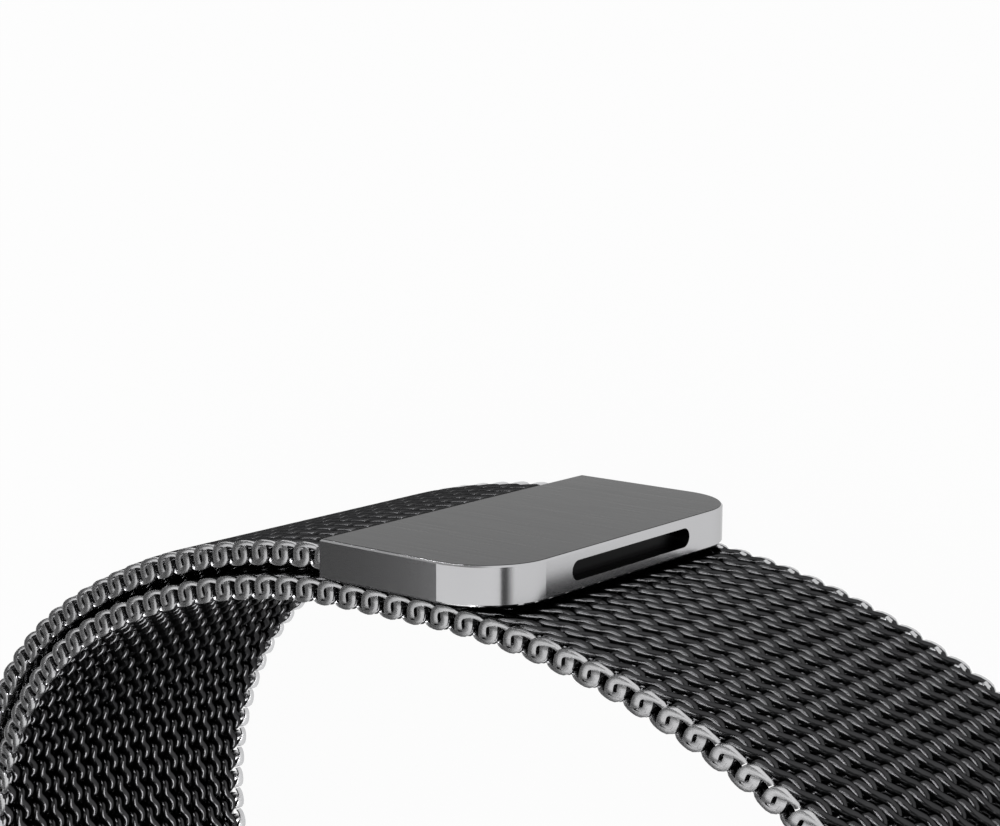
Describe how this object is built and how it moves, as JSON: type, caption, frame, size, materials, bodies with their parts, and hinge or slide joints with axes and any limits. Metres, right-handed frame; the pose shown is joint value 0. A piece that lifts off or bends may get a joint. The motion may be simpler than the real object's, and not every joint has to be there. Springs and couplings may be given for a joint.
{
  "type": "milanese mesh band",
  "caption": "Magnetic milanese mesh watch band, closed into a loop: woven steel mesh, sliding tail with a magnet clasp, slot ring and quick-release spring bars.",
  "frame": {"origin": "middle of the footprint, on the surface that the band's side edge stands on", "axes": "+Z runs across the band's width, from the edge it stands on to the upper edge. +X runs from the loop's plain side to its doubled side. The clasp is at -Y and the two watch ends are towards +Y."},
  "size_m": [0.0716, 0.045, 0.0235],
  "materials": {
    "mesh_steel": "dark grey coated wire, glossy on its crests",
    "clasp_steel": "dark grey coating, brushed top, polished sides",
    "end_steel": "dark grey coating, satin",
    "plate_steel": "plain soft iron, hidden",
    "cover_steel": "satin, bare steel",
    "magnet_nickel": "nickel plated, hidden",
    "gasket_rubber": "matte black",
    "bar_steel": "plain turned steel",
    "spring_steel": "plain spring wire"
  },
  "bodies": {
    "seat": {"mesh_under_clasp": "mesh_steel"},
    "ring_upper": {"ring_mesh_crown": "mesh_steel"},
    "ring_lower": {"ring_mesh_flank": "mesh_steel", "mesh_fold": "mesh_steel", "tail_mesh_end": "mesh_steel"},
    "tail_lower_flank": {"tail_mesh_lower_flank": "mesh_steel"},
    "tail_upper_flank": {"tail_mesh_upper_flank": "mesh_steel"},
    "tail_crown": {"tail_mesh_crown": "mesh_steel"},
    "tail_near_clasp": {"tail_mesh_near_clasp": "mesh_steel"},
    "clasp": {"tail_mesh_in_clasp": "mesh_steel", "clasp_body": "clasp_steel", "magnet_back_plate": "plate_steel", "clasp_magnets": "magnet_nickel", "magnet_cover": "cover_steel", "magnet_gasket": "gasket_rubber"},
    "plain_upper": {"plain_mesh_crown": "mesh_steel"},
    "plain_middle": {"plain_mesh_flank": "mesh_steel"},
    "plain_end": {"plain_mesh_end": "mesh_steel", "plain_end_bar": "end_steel", "plain_end_pins": "bar_steel", "plain_bar_tube": "bar_steel", "plain_bar_fixed_tip": "bar_steel", "plain_bar_spring": "spring_steel"},
    "plain_tip": {"plain_bar_sliding_tip": "bar_steel", "plain_bar_release_pin": "bar_steel"},
    "ring": {"slot_ring": "end_steel", "ring_bar_tube": "bar_steel", "ring_bar_fixed_tip": "bar_steel", "ring_bar_spring": "spring_steel"},
    "ring_tip": {"ring_bar_sliding_tip": "bar_steel", "ring_bar_release_pin": "bar_steel"}
  },
  "joints": [
    {"name": "ring_side_flex", "type": "hinge", "parent": "seat", "child": "ring_upper", "pos_m": [0.00339, -0.01927, 0.01175], "axis": [0, 0, 1], "range_deg": [-7, 7]},
    {"name": "ring_side_flex_lower", "type": "hinge", "parent": "ring_upper", "child": "ring_lower", "pos_m": [0.02569, -0.01147, 0.01175], "axis": [0, 0, 1], "range_deg": [-7, 7]},
    {"name": "tail_peel", "type": "hinge", "parent": "ring_lower", "child": "tail_lower_flank", "pos_m": [0.03372, 0.01212, 0.01175], "axis": [0, 0, 1], "range_deg": [0, 40]},
    {"name": "tail_peel_middle", "type": "hinge", "parent": "tail_lower_flank", "child": "tail_upper_flank", "pos_m": [0.03175, -0.00718, 0.01175], "axis": [0, 0, 1], "range_deg": [0, 40]},
    {"name": "tail_flex_crown", "type": "hinge", "parent": "tail_upper_flank", "child": "tail_crown", "pos_m": [0.02569, -0.01376, 0.01175], "axis": [0, 0, 1], "range_deg": [-7, 7]},
    {"name": "tail_peel_near", "type": "hinge", "parent": "tail_crown", "child": "tail_near_clasp", "pos_m": [0.01137, -0.02009, 0.01175], "axis": [0, 0, 1], "range_deg": [0, 40]},
    {"name": "tail_flex_clasp", "type": "hinge", "parent": "tail_near_clasp", "child": "clasp", "pos_m": [0.00339, -0.02125, 0.01175], "axis": [0, 0, 1], "range_deg": [-7, 7]},
    {"name": "plain_side_flex", "type": "hinge", "parent": "seat", "child": "plain_upper", "pos_m": [-0.01061, -0.01889, 0.01175], "axis": [0, 0, 1], "range_deg": [-15, 15]},
    {"name": "plain_side_flex_middle", "type": "hinge", "parent": "plain_upper", "child": "plain_middle", "pos_m": [-0.02873, -0.01207, 0.01175], "axis": [0, 0, 1], "range_deg": [-15, 15]},
    {"name": "plain_side_flex_end", "type": "hinge", "parent": "plain_middle", "child": "plain_end", "pos_m": [-0.03441, 0.00547, 0.01175], "axis": [0, 0, 1], "range_deg": [-15, 15]},
    {"name": "ring_swivel", "type": "hinge", "parent": "ring_lower", "child": "ring", "pos_m": [0.02913, 0.01689, 0.01175], "axis": [0, 0, 1], "range_deg": [-30, 30]},
    {"name": "plain_tip_slide", "type": "slide", "parent": "plain_end", "child": "plain_tip", "axis": [0, 0, -1], "range_m": [0, 0.0011], "stiffness_N_per_m": 800, "springref_m": -0.0015, "deforming": ["plain_bar_spring"]},
    {"name": "ring_tip_slide", "type": "slide", "parent": "ring", "child": "ring_tip", "axis": [0, 0, -1], "range_m": [0, 0.0011], "stiffness_N_per_m": 800, "springref_m": -0.0015, "deforming": ["ring_bar_spring"]}
  ],
  "couplings": [
    {"joint": "ring_side_flex_lower", "follows": "ring_side_flex", "ratio": 1},
    {"joint": "tail_flex_crown", "follows": "ring_side_flex", "ratio": -1},
    {"joint": "tail_flex_clasp", "follows": "ring_side_flex", "ratio": -1},
    {"joint": "tail_peel_middle", "follows": "tail_peel", "ratio": 1},
    {"joint": "tail_peel_near", "follows": "tail_peel", "ratio": 1},
    {"joint": "plain_side_flex_middle", "follows": "plain_side_flex", "ratio": 1},
    {"joint": "plain_side_flex_end", "follows": "plain_side_flex", "ratio": 1}
  ]
}
